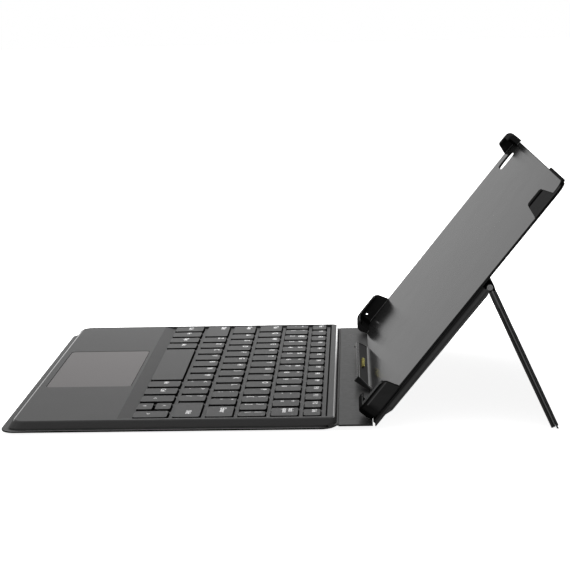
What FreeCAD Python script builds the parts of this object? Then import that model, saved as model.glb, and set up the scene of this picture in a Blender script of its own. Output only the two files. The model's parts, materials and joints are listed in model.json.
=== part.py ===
"""Tablet keyboard case: keyboard, flap, tablet tray with corner clips, and a folding leg behind it."""
import FreeCAD, Part
import math
import os
from FreeCAD import Vector

# Sizes are in millimetres and degrees. X runs across the case, Y away from the user, Z up from the desk.

# Keys
KEYS_PER_ROW = 14
KEY_GAP = 2.8
KEY_DEPTH = 15.2
FRONT_KEY_DEPTH = 19.3
FUNCTION_KEY_DEPTH = 9.6
SPLIT_KEY_GAP = 1.2
KEY_CORNER = 1.5
KEY_SIDE_DRAFT = 0.7
KEY_END_DRAFT = 0.25
KEY_DRAFT_HEIGHT = 1.4
KEY_HEIGHT = 2.3
KEY_TRAVEL = 1.2
KEY_CLEARANCE = 0.4
KEY_PROUD = 0.1

# Keyboard
COVER_OVERHANG = 2.0
KEYBOARD_DEPTH = 183.0
HEM_FRONT = 2.2
HEM_SIDE = 1.5
HEM_BACK = 0.5
COVER_CORNER = 9.0
MAT_THICKNESS = 1.5
MAT_INSET = 14.0
SKIN_THICKNESS = 0.6
PAN_THICKNESS = 1.0
PAN_INSET = 0.4
DECK_HEIGHT = 4.1
SIDE_SLOPE = 1.1
FRONT_SLOPE = 2.3
BACK_SLOPE = 0.3
DECK_BEVEL = 0.5
DECK_BACK_CORNER = 4.0
WALL = 2.0
WELL_RIM = 2.2
WELL_DEPTH = 1.5
WELL_FLOOR = 1.0
WELL_BACK_MARGIN = 3.6
WELL_TO_BACK = 4.5
RAMP_LENGTH = 7.4
RAMP_TO_KEYS = 0.6
PALM_PLATE = 1.3

# Touchpad
PAD_WIDTH = 96.0
PAD_DEPTH = 50.4
PAD_THICKNESS = 1.0
PAD_RECESS = 0.15
PAD_GAP = 0.35
PAD_CORNER = 3.0
PAD_TO_RAMP = 2.2
PAD_BOARD_INSET = 3.0
PAD_BOARD_THICKNESS = 0.8
PAD_CLICK = 0.4
PAD_SWITCH_SIZE = 6.0

# Pieces inside the keyboard
MEMBRANE_THICKNESS = 0.3
MEMBRANE_INSET = 2.2
DOME_RADIUS = 3.0
DOME_HEIGHT = 0.2
BOARD_FROM_SIDE = 14.0
BOARD_DEPTH = 26.0
BOARD_HEIGHT = 1.0
BOARD_FROM_RAMP = 7.2
RIBBON_WIDTH = 10.0
RIBBON_THICKNESS = 0.15
MAGNET_RADIUS = 5.0
MAGNET_HEIGHT = 2.4
MAGNET_FROM_SIDE = 14.8
MAGNET_FROM_FRONT = 8.5
SCREW_RADIUS = 0.7
SCREW_HEAD_RADIUS = 1.6
SCREW_HEAD_HEIGHT = 0.6
SCREW_LENGTH = 3.0
SCREW_CLEARANCE = 0.2
THREAD_CLEARANCE = 0.05
BOSS_RADIUS = 2.4

# Flap behind the keyboard
FLAP_LENGTH = 18.7
FLAP_SKIN = 0.3
FLAP_BOARD = 0.4
FLAP_BOTTOM = 2.8
FLAP_CREASE_GAP = 1.1
FLAP_AXIS_GAP = 0.4
FLAP_FOOT_WIDTH = 5.0
FLAP_FOOT_END_INSET = 28.0
FLAP_FOOT_TO_END = 2.3
REAR_CREASE_INSET = 20.0

# Tray, in its own plane: U runs up the tray from the rear crease, N out of its inner face
TRAY_ANGLE = 51.0
TRAY_AXIS_GAP = 0.7
TRAY_WIDTH = 253.0
TRAY_HEIGHT = 163.8
TRAY_START = 0.5
TRAY_CORNER = 6.5
TRAY_BACK = 1.08
TRAY_PLATE = 1.1
TRAY_LINER = 0.3
LINER_INSET = 0.3
CAMERA_SLOT_WIDTH = 20.5
CAMERA_SLOT_HEIGHT = 13.6
CAMERA_SLOT_CORNER = 4.0
CAMERA_FROM_SIDE = 26.9
CAMERA_FROM_TOP = 15.0
CLIP_WALL = 2.3
CLIP_SWELL = 1.5
CLIP_LIP = 1.8
CLIP_LIP_THICKNESS = 0.8
CLIP_GAP = 0.2
LOW_CLIP_LENGTH = 24.0
LOW_CLIP_SPAN = 26.5
LOW_CLIP_HEIGHT = 9.3
LOW_CLIP_ROUND = 4.5
HIGH_CLIP_LENGTH = 12.8
HIGH_CLIP_SPAN = 22.5
HIGH_CLIP_HEIGHT = 7.6
SIDE_CLIP_FROM_TOP = 7.3
SIDE_CLIP_LENGTH = 16.5
CLIP_TAPER = 2.8
CLIP_ROUND = 2.0
CLIP_FOOT_ROUND = 3.5
CLIP_FOOT_RISE = 4.2
RIM_HEIGHT = 1.5
RIM_INSET = 0.2
RIM_SPAN = 58.5
CLIP_HOLE_RADIUS = 0.8
CLIP_HOLE_UP = 6.5
CLIP_HOLE_OUT = 5.1

# Connector rail at the foot of the tray
RAIL_LENGTH = 112.0
RAIL_CENTRE = 2.0
RAIL_HEIGHT = 8.9
RAIL_THICKNESS = 0.7
RAIL_WALL = 2.3
RAIL_CAP = 3.0
RAIL_END_SLOPE = 8.5
RAIL_FLAP_CLEARANCE = 0.4
RAIL_BORDER = 1.1
RAIL_CHANNEL = 0.45
CONTACT_BLOCK = 0.25
PIN_COUNT = 5
PIN_SPACING = 4.5
PIN_OFFSET = 6.0
PIN_HEIGHT = 5.4
PIN_RADIUS = 0.85
PIN_CLEARANCE = 0.2
PIN_PROUD = 1.6
PIN_LENGTH = 2.2
PIN_TRAVEL = 0.8

# Back panel, kick hinge and leg
BACK_BOARD = 1.98
BACK_PAD = 1.3
BACK_SKIN = 0.45
BACK_INSET = 0.9
BACK_THIN_ZONE = 12.2
BACK_THIN_SKIN = 0.6
BACK_STEP = 4.2
HINGE_AT = 96.9
HINGE_DEPTH = -2.07
HINGE_RADIUS = 1.6
HINGE_GAP = 0.7
HINGE_PIN_RADIUS = 0.8
HINGE_BORE_CLEARANCE = 0.05
HINGE_LEAF = 11.1
KNUCKLES = 5
KNUCKLE_GAP = 0.4
LEG_ANGLE = 65.6
LEG_LENGTH = 83.3
LEG_BOARD = 1.8
LEG_SKIN = 0.55
LEG_SKIN_START = 2.6
LEG_LEAF = 9.7
WEB_FROM_HINGE = 3.5
WEB_THICKNESS = 0.35
WEB_INSET = 2.5
WEB_LAP = 3.2

# The closed case has the tray lying flat over the keys
FLAP_CLOSED_ANGLE = 105.0

# Levels above the desk
SKIN_BOTTOM = MAT_THICKNESS
PAN_BOTTOM = SKIN_BOTTOM + SKIN_THICKNESS
PAN_TOP = PAN_BOTTOM + PAN_THICKNESS
DECK_TOP = PAN_TOP + DECK_HEIGHT
FLOOR_TOP = DECK_TOP - WELL_DEPTH
FLOOR_BOTTOM = FLOOR_TOP - WELL_FLOOR
KEY_TOP = DECK_TOP + KEY_PROUD
KEY_BOTTOM = KEY_TOP - KEY_HEIGHT
MEMBRANE_TOP = PAN_TOP + MEMBRANE_THICKNESS
FLAP_TOP = FLAP_BOTTOM + 2 * FLAP_SKIN + FLAP_BOARD

# Places along the keyboard, measured from its middle before the whole case is centred
COVER_HALF = TRAY_WIDTH / 2 + COVER_OVERHANG
FRONT = -KEYBOARD_DEPTH / 2
BACK = KEYBOARD_DEPTH / 2
DECK_FRONT = FRONT + HEM_FRONT
DECK_BACK = BACK - HEM_BACK
DECK_HALF = COVER_HALF - HEM_SIDE
FIELD_HALF = DECK_HALF - SIDE_SLOPE - DECK_BEVEL - WELL_RIM
KEY_PITCH = 2 * FIELD_HALF / KEYS_PER_ROW
ROW_DEPTHS = (FRONT_KEY_DEPTH, KEY_DEPTH, KEY_DEPTH, KEY_DEPTH, KEY_DEPTH, FUNCTION_KEY_DEPTH)
WELL_BACK = DECK_BACK - WELL_TO_BACK
KEYS_FRONT = WELL_BACK - WELL_BACK_MARGIN - sum(ROW_DEPTHS) - KEY_GAP * (len(ROW_DEPTHS) - 1)
RAMP_FOOT = KEYS_FRONT - RAMP_TO_KEYS
RAMP_TOP = RAMP_FOOT - RAMP_LENGTH
PAD_BACK = RAMP_TOP - PAD_TO_RAMP
PAD_FRONT = PAD_BACK - PAD_DEPTH
CAVITY_FRONT = DECK_FRONT + FRONT_SLOPE + DECK_BEVEL + WALL
CAVITY_BACK = WELL_BACK - WALL
CAVITY_HALF = FIELD_HALF - PAN_INSET

# Hinge lines as (Y, Z)
FLAP_START = BACK + FLAP_CREASE_GAP
FLAP_END = FLAP_START + FLAP_LENGTH
FLAP_AXIS = (FLAP_START - FLAP_AXIS_GAP, FLAP_TOP)
TRAY_AXIS = (FLAP_END + TRAY_AXIS_GAP, FLAP_TOP)

# Levels out of the tray's inner face
PLATE_TOP = TRAY_BACK + TRAY_PLATE
LINER_TOP = PLATE_TOP + TRAY_LINER
BOARD_BACK = TRAY_BACK - BACK_BOARD
PAD_BACK_FACE = BOARD_BACK - BACK_PAD
BACK_FACE = PAD_BACK_FACE - BACK_SKIN
TRAY_TOP = TRAY_START + TRAY_HEIGHT
TRAY_HALF = TRAY_WIDTH / 2
RAIL_FACE = TRAY_START + RAIL_THICKNESS
RAIL_TOP = LINER_TOP + RAIL_HEIGHT
PANEL_HALF = COVER_HALF - BACK_INSET
PANEL_END = HINGE_AT - HINGE_RADIUS - HINGE_GAP

# Rows from the user outwards: for each row the key widths in pitches and which node takes how many keys
ROWS = (
    ((1, 1, 1, 1, 5, 1, 1, 1, 1, 1), (
        ("left_modifier_keys", 4), ("space_bar", 1), ("right_modifier_keys", 2),
        ("left_arrow_key", 1), ("split_arrow", 1), ("right_arrow_key", 1))),
    ((2,) + (1,) * 10 + (2,), (("left_shift_key", 1), ("lower_letter_keys", 10), ("right_shift_key", 1))),
    ((1.5,) + (1,) * 11 + (1.5,), (("caps_lock_key", 1), ("home_letter_keys", 11), ("enter_key", 1))),
    ((1.2,) + (1,) * 12 + (0.8,), (("tab_key", 1), ("upper_letter_keys", 12), ("backslash_key", 1))),
    ((0.8,) + (1,) * 12 + (1.2,), (("number_keys", 13), ("backspace_key", 1))),
    ((1,) * 14, (("escape_key", 1), ("function_keys", 13))),
)


def block(x0, x1, y0, y1, z0, z1):
    return Part.makeBox(x1 - x0, y1 - y0, z1 - z0, Vector(x0, y0, z0))


def rounded_outline(x0, x1, y0, y1, radius, z, back_radius=None):
    """Closed wire of a rectangle with round corners at height z; the two back corners may have their own radius."""
    far = radius if back_radius is None else back_radius
    turn = radius * (1 - math.sqrt(0.5))
    far_turn = far * (1 - math.sqrt(0.5))
    lines = (
        (Vector(x0 + radius, y0, z), Vector(x1 - radius, y0, z), Vector(x1 - turn, y0 + turn, z)),
        (Vector(x1, y0 + radius, z), Vector(x1, y1 - far, z), Vector(x1 - far_turn, y1 - far_turn, z)),
        (Vector(x1 - far, y1, z), Vector(x0 + far, y1, z), Vector(x0 + far_turn, y1 - far_turn, z)),
        (Vector(x0, y1 - far, z), Vector(x0, y0 + radius, z), Vector(x0 + turn, y0 + turn, z)),
    )
    edges = []
    for number, (start, end, middle) in enumerate(lines):
        following = lines[(number + 1) % len(lines)][0]
        edges.append(Part.makeLine(start, end))
        edges.append(Part.Arc(end, middle, following).toShape())
    return Part.Wire(edges)


def rounded_plate(x0, x1, y0, y1, radius, z0, z1):
    face = Part.Face(rounded_outline(x0, x1, y0, y1, radius, z0))
    return face.extrude(Vector(0, 0, z1 - z0))


def prism(points, x0, x1):
    """Solid with the (Y, Z) outline given, running from x0 to x1."""
    corners = [Vector(x0, y, z) for y, z in points]
    face = Part.Face(Part.makePolygon(corners + corners[:1]))
    return face.extrude(Vector(x1 - x0, 0, 0))


def rod(radius, x0, x1, y, z):
    """Cylinder along X."""
    return Part.makeCylinder(radius, x1 - x0, Vector(x0, y, z), Vector(1, 0, 0))


def post(radius, x, y, z0, z1):
    """Cylinder along Z."""
    return Part.makeCylinder(radius, z1 - z0, Vector(x, y, z0))


def cut_all(shape, tools):
    return shape.cut(Part.makeCompound(tools))


def tray_point(u, n):
    """(Y, Z) of a point given up the tray and out of its inner face."""
    angle = math.radians(TRAY_ANGLE)
    y = TRAY_AXIS[0] + u * math.cos(angle) - n * math.sin(angle)
    z = TRAY_AXIS[1] + u * math.sin(angle) + n * math.cos(angle)
    return y, z


def on_tray(shape):
    """Moves a shape drawn flat, with U along Y and N along Z, to the standing tray."""
    placed = shape.copy()
    placed.rotate(Vector(0, 0, 0), Vector(1, 0, 0), TRAY_ANGLE)
    placed.translate(Vector(0, TRAY_AXIS[0], TRAY_AXIS[1]))
    return placed


def on_leg(shape):
    """Moves a shape drawn along +Y from the hinge, outer face up, to the opened leg."""
    y, z = tray_point(HINGE_AT, HINGE_DEPTH)
    placed = shape.copy()
    placed.rotate(Vector(0, 0, 0), Vector(1, 0, 0), -LEG_ANGLE)
    placed.translate(Vector(0, y, z))
    return placed


def row_places():
    """Front and back of every key row."""
    places = []
    front = KEYS_FRONT
    for depth in ROW_DEPTHS:
        places.append((front, front + depth))
        front += depth + KEY_GAP
    return places


def key_cells():
    """Every key as (node, x0, x1, y0, y1) of its cap."""
    cells = []
    for (widths, nodes), (front, back) in zip(ROWS, row_places()):
        names = [name for name, count in nodes for _ in range(count)]
        left = -FIELD_HALF
        for name, width in zip(names, widths):
            right = left + width * KEY_PITCH
            cells.append((name, left + KEY_GAP / 2, right - KEY_GAP / 2, front, back))
            left = right
    return cells


def split_cells(cells):
    """The same cells, with the split arrow key parted into its front and back half."""
    parted = []
    for name, x0, x1, y0, y1 in cells:
        if name != "split_arrow":
            parted.append((name, x0, x1, y0, y1))
            continue
        half = (y1 - y0 - SPLIT_KEY_GAP) / 2
        parted.append(("down_arrow_key", x0, x1, y0, y0 + half))
        parted.append(("up_arrow_key", x0, x1, y1 - half, y1))
    return parted


def key_cap(x0, x1, y0, y1):
    """Cap with upright skirts that lean in towards a smaller top."""
    side = KEY_SIDE_DRAFT
    end = KEY_END_DRAFT
    sections = [
        rounded_outline(x0, x1, y0, y1, KEY_CORNER, KEY_BOTTOM),
        rounded_outline(x0, x1, y0, y1, KEY_CORNER, KEY_TOP - KEY_DRAFT_HEIGHT),
        rounded_outline(x0 + side, x1 - side, y0 + end, y1 - end, KEY_CORNER, KEY_TOP),
    ]
    return Part.makeLoft(sections, True, True)


def keys():
    groups = {}
    for name, x0, x1, y0, y1 in split_cells(key_cells()):
        groups.setdefault(name, []).append(key_cap(x0, x1, y0, y1))
    return {name: Part.makeCompound(caps) for name, caps in groups.items()}


def screw_places():
    """Four screws under the palm rest and four in the back edge of the deck."""
    back = (CAVITY_BACK + DECK_BACK) / 2
    front = PAD_FRONT + BOSS_RADIUS
    beside_pad = PAD_WIDTH / 2 + 5 * BOSS_RADIUS
    side = CAVITY_HALF - 2 * BOSS_RADIUS
    places = []
    for sign in (-1, 1):
        places.append((sign * beside_pad, front, True))
        places.append((sign * side, (PAD_FRONT + PAD_BACK) / 2, True))
        places.append((sign * DECK_HALF * 0.3, back, False))
        places.append((sign * DECK_HALF * 0.85, back, False))
    return places


def screw_shape(x, y, clearance, thread):
    head = post(SCREW_HEAD_RADIUS + clearance, x, y, PAN_BOTTOM, PAN_BOTTOM + SCREW_HEAD_HEIGHT)
    return head.fuse(post(SCREW_RADIUS + thread, x, y, PAN_BOTTOM, PAN_BOTTOM + SCREW_LENGTH))


def base_screws():
    return Part.makeCompound([screw_shape(x, y, 0, 0) for x, y, _ in screw_places()])


def base_mat():
    half = COVER_HALF - MAT_INSET
    corner = COVER_CORNER / 2
    return rounded_plate(-half, half, FRONT + MAT_INSET, BACK - MAT_INSET, corner, 0, MAT_THICKNESS)


def base_skin():
    return rounded_plate(-COVER_HALF, COVER_HALF, FRONT, BACK, COVER_CORNER, SKIN_BOTTOM, PAN_BOTTOM)


def keyboard_base():
    half = DECK_HALF - PAN_INSET
    corner = COVER_CORNER - HEM_SIDE
    pan = rounded_plate(-half, half, DECK_FRONT + PAN_INSET, DECK_BACK, corner, PAN_BOTTOM, PAN_TOP)
    return cut_all(pan, [screw_shape(x, y, SCREW_CLEARANCE, SCREW_CLEARANCE) for x, y, _ in screw_places()])


def deck_body():
    corner = COVER_CORNER - HEM_SIDE
    shoulder = DECK_TOP - DECK_BEVEL
    sections = []
    for side, front, back, z in (
            (0, 0, 0, PAN_TOP),
            (SIDE_SLOPE, FRONT_SLOPE, BACK_SLOPE, shoulder),
            (SIDE_SLOPE + DECK_BEVEL, FRONT_SLOPE + DECK_BEVEL, BACK_SLOPE + DECK_BEVEL, DECK_TOP)):
        half = DECK_HALF - side
        sections.append(rounded_outline(-half, half, DECK_FRONT + front, DECK_BACK - back, corner, z,
                                        DECK_BACK_CORNER))
    return Part.makeLoft(sections, True, True)


def deck():
    above = DECK_TOP + WELL_DEPTH
    well = prism([(RAMP_TOP, DECK_TOP), (RAMP_FOOT, FLOOR_TOP), (WELL_BACK, FLOOR_TOP), (WELL_BACK, above),
                  (RAMP_TOP, above)], -FIELD_HALF, FIELD_HALF)
    palm_ceiling = DECK_TOP - PALM_PLATE
    cavity = block(-CAVITY_HALF, CAVITY_HALF, CAVITY_FRONT, CAVITY_BACK, PAN_TOP, FLOOR_BOTTOM)
    palm = block(-CAVITY_HALF, CAVITY_HALF, CAVITY_FRONT, RAMP_TOP - PAD_TO_RAMP + PAD_GAP, PAN_TOP, palm_ceiling)
    pad_half = PAD_WIDTH / 2 + PAD_GAP
    pad_hole = rounded_plate(-pad_half, pad_half, PAD_FRONT - PAD_GAP, PAD_BACK + PAD_GAP,
                             PAD_CORNER + PAD_GAP, PAN_TOP, above)
    c = KEY_CLEARANCE
    holes = [rounded_plate(x0 - c, x1 + c, y0 - c, y1 + c, KEY_CORNER + c, PAN_TOP, above)
             for _, x0, x1, y0, y1 in key_cells()]
    body = cut_all(deck_body(), [well, cavity])
    body = cut_all(body, [palm])
    body = cut_all(body, [pad_hole] + holes)
    bosses = [post(BOSS_RADIUS, x, y, PAN_TOP, palm_ceiling) for x, y, boss in screw_places() if boss]
    body = body.fuse(bosses)
    return cut_all(body, [screw_shape(x, y, SCREW_CLEARANCE, THREAD_CLEARANCE) for x, y, _ in screw_places()])


def touchpad():
    top = DECK_TOP - PAD_RECESS
    half = PAD_WIDTH / 2
    return rounded_plate(-half, half, PAD_FRONT, PAD_BACK, PAD_CORNER, top - PAD_THICKNESS, top)


def touchpad_board():
    top = DECK_TOP - PAD_RECESS - PAD_THICKNESS
    half = PAD_WIDTH / 2 - PAD_BOARD_INSET
    return block(-half, half, PAD_FRONT + PAD_BOARD_INSET, PAD_BACK - PAD_BOARD_INSET,
                 top - PAD_BOARD_THICKNESS, top)


def pad_switch():
    top = DECK_TOP - PAD_RECESS - PAD_THICKNESS - PAD_BOARD_THICKNESS - PAD_CLICK - KEY_CLEARANCE
    half = PAD_SWITCH_SIZE / 2
    front = PAD_FRONT + PAD_BOARD_INSET
    return block(-half, half, front, front + PAD_SWITCH_SIZE, PAN_TOP, top)


def switch_membrane():
    half = FIELD_HALF - MEMBRANE_INSET
    return block(-half, half, RAMP_FOOT, CAVITY_BACK - PAN_INSET, PAN_TOP, MEMBRANE_TOP)


def key_domes():
    domes = [post(DOME_RADIUS, (x0 + x1) / 2, (y0 + y1) / 2, MEMBRANE_TOP, MEMBRANE_TOP + DOME_HEIGHT)
             for _, x0, x1, y0, y1 in split_cells(key_cells())]
    return Part.makeCompound(domes)


def board_sides():
    """The board lies between the side of the cavity and the touchpad."""
    return BOARD_FROM_SIDE - CAVITY_HALF, -PAD_WIDTH / 2 - 2 * BOSS_RADIUS


def controller_board():
    left, right = board_sides()
    back = RAMP_TOP - BOARD_FROM_RAMP
    return block(left, right, back - BOARD_DEPTH, back, PAN_TOP, PAN_TOP + BOARD_HEIGHT)


def membrane_ribbon():
    middle = sum(board_sides()) / 2
    half = RIBBON_WIDTH / 2
    return block(middle - half, middle + half, RAMP_TOP - BOARD_FROM_RAMP, RAMP_FOOT,
                 PAN_TOP, PAN_TOP + RIBBON_THICKNESS)


def closing_magnets():
    x = CAVITY_HALF - MAGNET_FROM_SIDE
    y = CAVITY_FRONT + MAGNET_FROM_FRONT
    return Part.makeCompound([post(MAGNET_RADIUS, sign * x, y, PAN_TOP, PAN_TOP + MAGNET_HEIGHT)
                              for sign in (-1, 1)])


def flap_layer(z0, z1):
    return block(-COVER_HALF, COVER_HALF, FLAP_START, FLAP_END, z0, z1)


def flap_outer_skin():
    return flap_layer(FLAP_BOTTOM, FLAP_BOTTOM + FLAP_SKIN)


def flap_board():
    return flap_layer(FLAP_BOTTOM + FLAP_SKIN, FLAP_TOP - FLAP_SKIN)


def flap_inner_skin():
    return flap_layer(FLAP_TOP - FLAP_SKIN, FLAP_TOP)


def flap_foot():
    half = COVER_HALF - FLAP_FOOT_END_INSET
    back = FLAP_END - FLAP_FOOT_TO_END
    return block(-half, half, back - FLAP_FOOT_WIDTH, back, 0, FLAP_BOTTOM)


def front_crease_strip():
    outline = [(BACK, SKIN_BOTTOM), (FLAP_START, FLAP_BOTTOM), (FLAP_START, FLAP_BOTTOM + FLAP_SKIN),
               (BACK, PAN_BOTTOM)]
    half = COVER_HALF - COVER_CORNER
    return prism(outline, -half, half)


def rear_crease_strip():
    edge = back_skin_foot()
    outline = [(FLAP_END, FLAP_BOTTOM), tray_point(edge, BOARD_BACK - BACK_THIN_SKIN),
               tray_point(edge, BOARD_BACK), (FLAP_END, FLAP_BOTTOM + FLAP_SKIN)]
    half = COVER_HALF - REAR_CREASE_INSET
    return prism(outline, -half, half)


def tray_outline(inset, n0, n1):
    half = TRAY_HALF - inset
    return rounded_plate(-half, half, TRAY_START + inset, TRAY_TOP - inset, TRAY_CORNER - inset, n0, n1)


def camera_slot():
    x = CAMERA_FROM_SIDE - TRAY_HALF
    u = TRAY_TOP - CAMERA_FROM_TOP
    half = CAMERA_SLOT_WIDTH / 2
    rise = CAMERA_SLOT_HEIGHT / 2
    return rounded_plate(x - half, x + half, u - rise, u + rise, CAMERA_SLOT_CORNER, BACK_FACE, RAIL_TOP)


def edge_wall(outset, inset, n0, n1):
    """Upright rim along the edge of the tray, from outside the edge to inside it."""
    return tray_outline(-outset, n0, n1).cut(tray_outline(inset, n0, n1))


def hooked_wall(height):
    top = PLATE_TOP + height
    wall = edge_wall(CLIP_SWELL, CLIP_WALL, PLATE_TOP, top)
    return wall.fuse(edge_wall(CLIP_SWELL, CLIP_WALL + CLIP_LIP, top - CLIP_LIP_THICKNESS, top))


def clip_keeper(outline, rounds, x0, x1):
    """Block with the (U, N) outline given that keeps one stretch of the edge wall; rounds is (corner, radius)."""
    keeper = prism(outline, x0, x1)
    for (u, n), radius in rounds:
        corner = Vector((x0 + x1) / 2, u, n)
        edges = [edge for edge in keeper.Edges if edge.CenterOfMass.isEqual(corner, 0.01)]
        keeper = keeper.makeFillet(radius, edges)
    return keeper


def bottom_clip(sign):
    top = PLATE_TOP + LOW_CLIP_HEIGHT
    foot = TRAY_START - CLIP_SWELL
    end = TRAY_START + LOW_CLIP_LENGTH
    outline = [(TRAY_START, PLATE_TOP), (end, PLATE_TOP), (end - CLIP_TAPER, top), (foot, top),
               (foot, PLATE_TOP + CLIP_FOOT_RISE)]
    rounds = (((end - CLIP_TAPER, top), LOW_CLIP_ROUND), ((foot, top), CLIP_FOOT_ROUND))
    reach = sorted((sign * (TRAY_HALF - LOW_CLIP_SPAN), sign * COVER_HALF))
    return hooked_wall(LOW_CLIP_HEIGHT).common(clip_keeper(outline, rounds, *reach))


def clip_bottom_left():
    hole = rod(CLIP_HOLE_RADIUS, -COVER_HALF, -TRAY_HALF + 2 * CLIP_WALL,
               TRAY_START + CLIP_HOLE_UP, PLATE_TOP + CLIP_HOLE_OUT)
    return bottom_clip(-1).cut(hole)


def clip_bottom_right():
    return bottom_clip(1)


def clip_top_left():
    top = PLATE_TOP + HIGH_CLIP_HEIGHT
    start = TRAY_TOP - HIGH_CLIP_LENGTH
    head = TRAY_TOP + CLIP_SWELL
    outline = [(start, PLATE_TOP), (head, PLATE_TOP), (head, top), (start + CLIP_TAPER, top)]
    rounds = (((head, top), CLIP_FOOT_ROUND), ((start + CLIP_TAPER, top), CLIP_ROUND))
    keeper = clip_keeper(outline, rounds, -COVER_HALF, -TRAY_HALF + HIGH_CLIP_SPAN)
    return hooked_wall(HIGH_CLIP_HEIGHT).common(keeper)


def clip_top_right():
    """Hook on the side, with a low rim that runs on from it round the corner."""
    top = PLATE_TOP + HIGH_CLIP_HEIGHT
    end = TRAY_TOP - SIDE_CLIP_FROM_TOP
    start = end - SIDE_CLIP_LENGTH
    outline = [(start, PLATE_TOP), (end, PLATE_TOP), (end - CLIP_TAPER, top), (start + CLIP_TAPER, top)]
    rounds = [((u, top), CLIP_ROUND) for u in (end - CLIP_TAPER, start + CLIP_TAPER)]
    hook = hooked_wall(HIGH_CLIP_HEIGHT).common(clip_keeper(outline, rounds, TRAY_HALF - 2 * CLIP_WALL - CLIP_LIP,
                                                            COVER_HALF))
    rim_top = PLATE_TOP + RIM_HEIGHT
    rim_keeper = block(TRAY_HALF - RIM_SPAN, COVER_HALF, end - CLIP_TAPER, TRAY_TOP + CLIP_SWELL, PLATE_TOP, rim_top)
    rim = edge_wall(CLIP_SWELL, RIM_INSET, PLATE_TOP, rim_top).common(rim_keeper)
    return hook.fuse(rim).removeSplitter()


def tray_plate():
    return tray_outline(0, TRAY_BACK, PLATE_TOP).cut(camera_slot())


def tray_liner():
    """Sheet on the plate, cut back from the feet of the clips."""
    sheet = tray_outline(LINER_INSET, PLATE_TOP, LINER_TOP).cut(camera_slot())
    rim = edge_wall(0, CLIP_WALL + CLIP_GAP, PLATE_TOP, LINER_TOP)
    g = CLIP_GAP
    low = (-TRAY_START, TRAY_START + LOW_CLIP_LENGTH + g)
    high = (TRAY_TOP - HIGH_CLIP_LENGTH - g, TRAY_TOP + g)
    side = (TRAY_TOP - SIDE_CLIP_FROM_TOP - SIDE_CLIP_LENGTH - g, TRAY_TOP - SIDE_CLIP_FROM_TOP + g)
    stretches = (
        (-COVER_HALF, -TRAY_HALF + LOW_CLIP_SPAN + g, *low),
        (TRAY_HALF - LOW_CLIP_SPAN - g, COVER_HALF, *low),
        (-COVER_HALF, -TRAY_HALF + HIGH_CLIP_SPAN + g, *high),
        (TRAY_HALF - CLIP_WALL - g, COVER_HALF, *side),
    )
    feet = [rim.common(block(x0, x1, u0, u1, PLATE_TOP, LINER_TOP)) for x0, x1, u0, u1 in stretches]
    return cut_all(sheet, feet)


def rail_outer(n):
    """Where the rail's outer face lies at height n, clear of the flap when the case is shut."""
    lean = math.radians(FLAP_CLOSED_ANGLE - 90)
    return RAIL_FLAP_CLEARANCE / math.cos(lean) - n * math.tan(lean)


def rail_slab(outline, u0, u1):
    """Slab across the rail with the (X, N) outline given, X from the rail's middle."""
    corners = [Vector(RAIL_CENTRE + x, u0, n) for x, n in outline]
    return Part.Face(Part.makePolygon(corners + corners[:1])).extrude(Vector(0, u1 - u0, 0))


def rail_channel_outline(border):
    """Trapezoid inside the rail's face, its four sides set in from the rail's outline by the border."""
    lean = RAIL_END_SLOPE / RAIL_HEIGHT
    low = LINER_TOP + border
    high = RAIL_TOP - border
    set_in = border * math.hypot(1, lean)
    wide = RAIL_LENGTH / 2 - border * lean - set_in
    narrow = RAIL_LENGTH / 2 - RAIL_END_SLOPE + border * lean - set_in
    return [(-wide, low), (wide, low), (narrow, high), (-narrow, high)]


def pin_places():
    middle = RAIL_CENTRE + PIN_OFFSET
    return [middle + PIN_SPACING * (number - (PIN_COUNT - 1) / 2) for number in range(PIN_COUNT)]


def pin_shape(x, radius, u0, u1):
    return Part.makeCylinder(radius, u1 - u0, Vector(x, u0, LINER_TOP + PIN_HEIGHT), Vector(0, 1, 0))


def pin_holes():
    tip = RAIL_FACE - RAIL_CHANNEL + CONTACT_BLOCK + PIN_PROUD
    bottom = tip - PIN_LENGTH - PIN_TRAVEL - PIN_CLEARANCE / 2
    return [pin_shape(x, PIN_RADIUS + PIN_CLEARANCE, bottom, tip) for x in pin_places()]


def connector_rail():
    """Wall that hooks over the lower edge of the plate, thicker at its two ends, with a channel for the contacts."""
    section = [(RAIL_FACE, LINER_TOP), (RAIL_FACE, RAIL_TOP), (rail_outer(RAIL_TOP), RAIL_TOP),
               (rail_outer(TRAY_BACK), TRAY_BACK), (TRAY_START, TRAY_BACK), (TRAY_START, LINER_TOP)]
    wide = RAIL_LENGTH / 2
    narrow = wide - RAIL_END_SLOPE
    outline = [(-wide, TRAY_BACK), (wide, TRAY_BACK), (wide, LINER_TOP), (narrow, RAIL_TOP), (-narrow, RAIL_TOP),
               (-wide, LINER_TOP)]
    bar = prism(section, -COVER_HALF, COVER_HALF).common(rail_slab(outline, rail_outer(RAIL_TOP), RAIL_FACE))
    between_caps = narrow - RAIL_CAP
    back = block(RAIL_CENTRE - between_caps, RAIL_CENTRE + between_caps, rail_outer(RAIL_TOP), RAIL_FACE - RAIL_WALL,
                 TRAY_BACK, RAIL_TOP)
    channel = rail_slab(rail_channel_outline(RAIL_BORDER), RAIL_FACE - RAIL_CHANNEL, RAIL_FACE + RAIL_CHANNEL)
    return cut_all(bar, [back, channel] + pin_holes())


def contact_block():
    floor = RAIL_FACE - RAIL_CHANNEL
    outline = rail_channel_outline(RAIL_BORDER + CLIP_GAP)
    return cut_all(rail_slab(outline, floor, floor + CONTACT_BLOCK), pin_holes())


def contact_pins():
    tip = RAIL_FACE - RAIL_CHANNEL + CONTACT_BLOCK + PIN_PROUD
    return Part.makeCompound([pin_shape(x, PIN_RADIUS, tip - PIN_LENGTH, tip) for x in pin_places()])


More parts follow.
